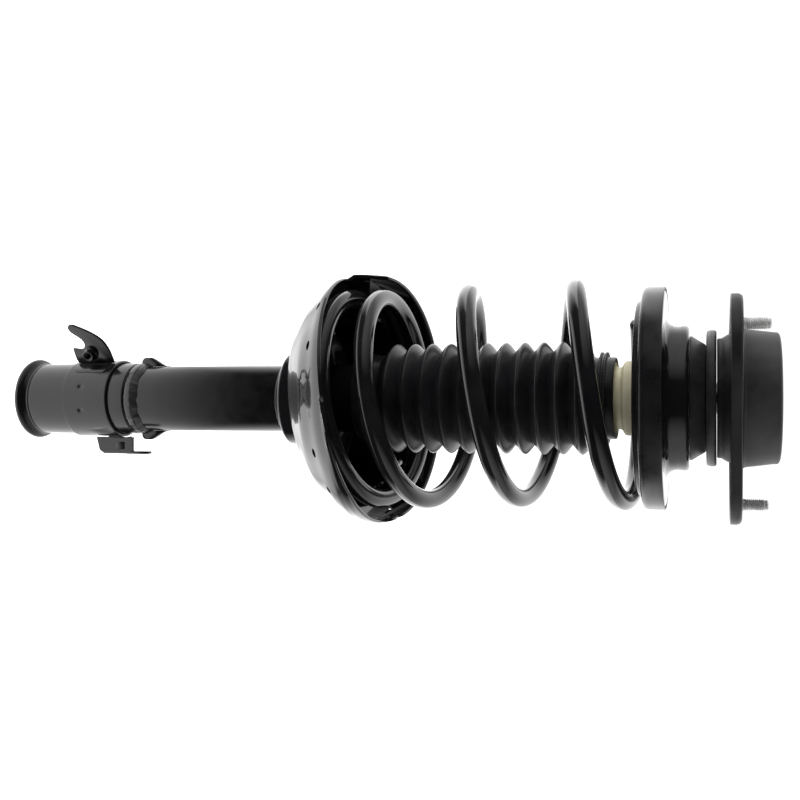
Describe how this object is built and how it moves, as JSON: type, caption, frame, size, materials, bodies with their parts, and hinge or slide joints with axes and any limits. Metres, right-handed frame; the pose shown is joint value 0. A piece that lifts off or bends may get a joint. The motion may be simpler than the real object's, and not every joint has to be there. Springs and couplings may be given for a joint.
{
  "type": "suspension strut assembly",
  "caption": "MacPherson strut: twin-tube damper with clamp-in lower sleeve, brackets, dished spring seat, coil spring, folded dust boot, bump stop, strut bearing and studded top mount.",
  "frame": {"origin": "centre of the mount plate's top face, on the strut axis", "axes": "+Z along the strut axis, up to the car body; -Y is the side that the main view shows; -X carries the hose ear and +X the harness bracket"},
  "size_m": [0.1874, 0.1874, 0.5834],
  "materials": {
    "tube_paint": "satin black paint",
    "weld_bead": "glossy painted weld",
    "bracket_paint": "satin black paint",
    "seat_gloss": "gloss black electrocoat",
    "spring_coating": "gloss black powder coat",
    "boot_plastic": "semi-gloss black moulded boot",
    "bump_foam": "cream microcellular polyurethane",
    "isolator_rubber": "dark grey rubber",
    "seal_rubber": "matt black rubber",
    "bearing_plastic": "matt black moulded plastic",
    "bearing_steel": "polished steel",
    "mount_paint": "matt black paint",
    "cup_coating": "matt black coating with a fine texture",
    "stud_zinc": "zinc plated steel",
    "inner_steel": "machined steel",
    "rod_chrome": "ground hard chrome",
    "band_ptfe": "bronze-filled bearing band"
  },
  "bodies": {
    "top_mount": {"bearing_upper_race": "bearing_plastic", "mount_plate": "mount_paint", "mount_studs": "stud_zinc", "mount_rubber": "seal_rubber", "mount_core": "inner_steel", "mount_cup": "cup_coating", "piston_rod": "rod_chrome", "rod_nut": "stud_zinc", "rod_washer": "stud_zinc", "rebound_stop": "seal_rubber", "piston": "inner_steel", "piston_band": "band_ptfe", "piston_nut": "inner_steel"},
    "spring_seat": {"coil_spring": "spring_coating", "boot": "boot_plastic", "boot_tie": "boot_plastic", "bump_stop": "bump_foam", "upper_isolator": "isolator_rubber", "upper_spring_seat": "seat_gloss", "bearing_lower_race": "bearing_plastic", "bearing_balls": "bearing_steel"},
    "damper_body": {"knuckle_sleeve": "tube_paint", "reserve_tube": "tube_paint", "sleeve_weld": "weld_bead", "clamp_band": "bracket_paint", "hose_ear": "bracket_paint", "hose_nut": "bracket_paint", "harness_bracket": "bracket_paint", "locating_fins": "bracket_paint", "seat_collar": "seat_gloss", "collar_weld": "weld_bead", "lower_spring_seat": "seat_gloss", "pressure_tube": "inner_steel", "base_cap": "tube_paint", "base_valve": "inner_steel", "rod_guide": "inner_steel", "oil_seal": "seal_rubber"}
  },
  "joints": [
    {"name": "steer_swivel", "type": "hinge", "parent": "top_mount", "child": "spring_seat", "pos_m": [0, 0, 0], "axis": [0, 0, 1], "range_deg": [-40, 40]},
    {"name": "damper_stroke", "type": "slide", "parent": "spring_seat", "child": "damper_body", "axis": [0, 0, 1], "range_m": [0, 0.085], "stiffness_N_per_m": 25000, "springref_m": -0.06, "deforming": ["coil_spring", "boot"]}
  ]
}
